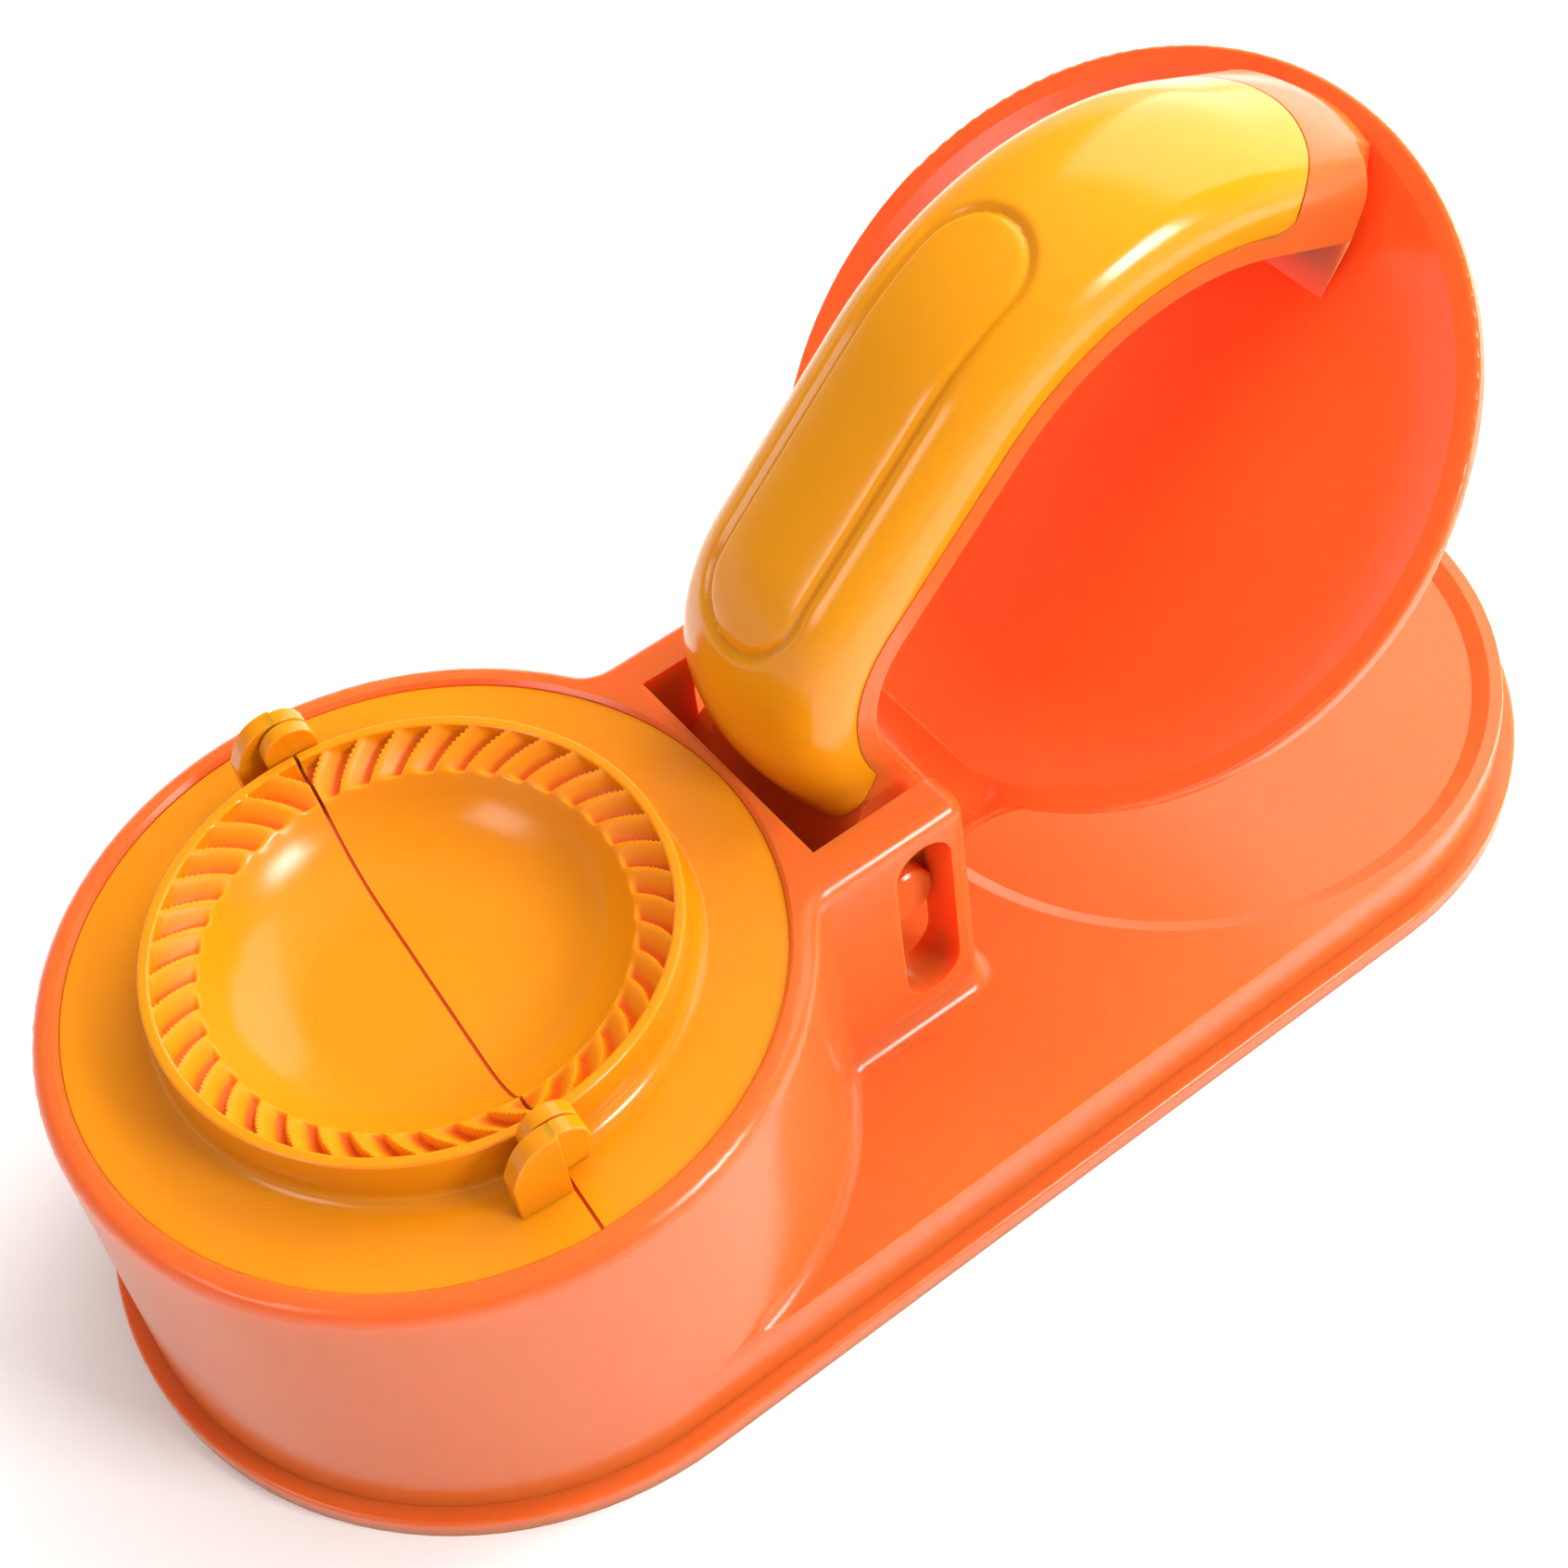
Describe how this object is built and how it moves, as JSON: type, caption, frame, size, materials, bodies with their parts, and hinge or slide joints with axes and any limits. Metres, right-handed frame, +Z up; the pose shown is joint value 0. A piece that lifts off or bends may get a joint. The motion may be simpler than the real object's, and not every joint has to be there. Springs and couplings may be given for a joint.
{
  "type": "empanada press",
  "caption": "Two-in-one dough press: a flat bed with a hinged pressing disc on an arch grip, beside a drum that holds a folding crimped mould.",
  "frame": {"origin": "centre of the base's foot, on the table", "axes": "+X from the drum to the pressing bed, +Z up"},
  "size_m": [0.277, 0.128, 0.1396],
  "materials": {
    "orange_plastic": "glossy moulded",
    "yellow_plastic": "glossy moulded",
    "pin_plastic": "glossy moulded"
  },
  "bodies": {
    "base": {"base_shell": "orange_plastic"},
    "pin": {"pivot_pin": "pin_plastic"},
    "lever": {"press_lever": "orange_plastic", "grip_cover": "yellow_plastic"},
    "mould_left": {"mould_half_left": "yellow_plastic"},
    "mould_right": {"mould_half_right": "yellow_plastic"}
  },
  "joints": [
    {"name": "pin_slide", "type": "slide", "parent": "base", "child": "pin", "axis": [0, 0, 1], "range_m": [-0.01295, 0.0124]},
    {"name": "lever_pivot", "type": "hinge", "parent": "pin", "child": "lever", "pos_m": [-0.003, 0, 0.04035], "axis": [0, -1, 0], "range_deg": [-39.5, 1]},
    {"name": "mould_lift", "type": "slide", "parent": "base", "child": "mould_left", "axis": [0, 0, -1], "range_m": [-0.03, 0]},
    {"name": "mould_fold", "type": "hinge", "parent": "mould_left", "child": "mould_right", "pos_m": [-0.0745, 0, 0.071], "axis": [0.0872, 0.9962, 0], "range_deg": [-178, 0]}
  ]
}
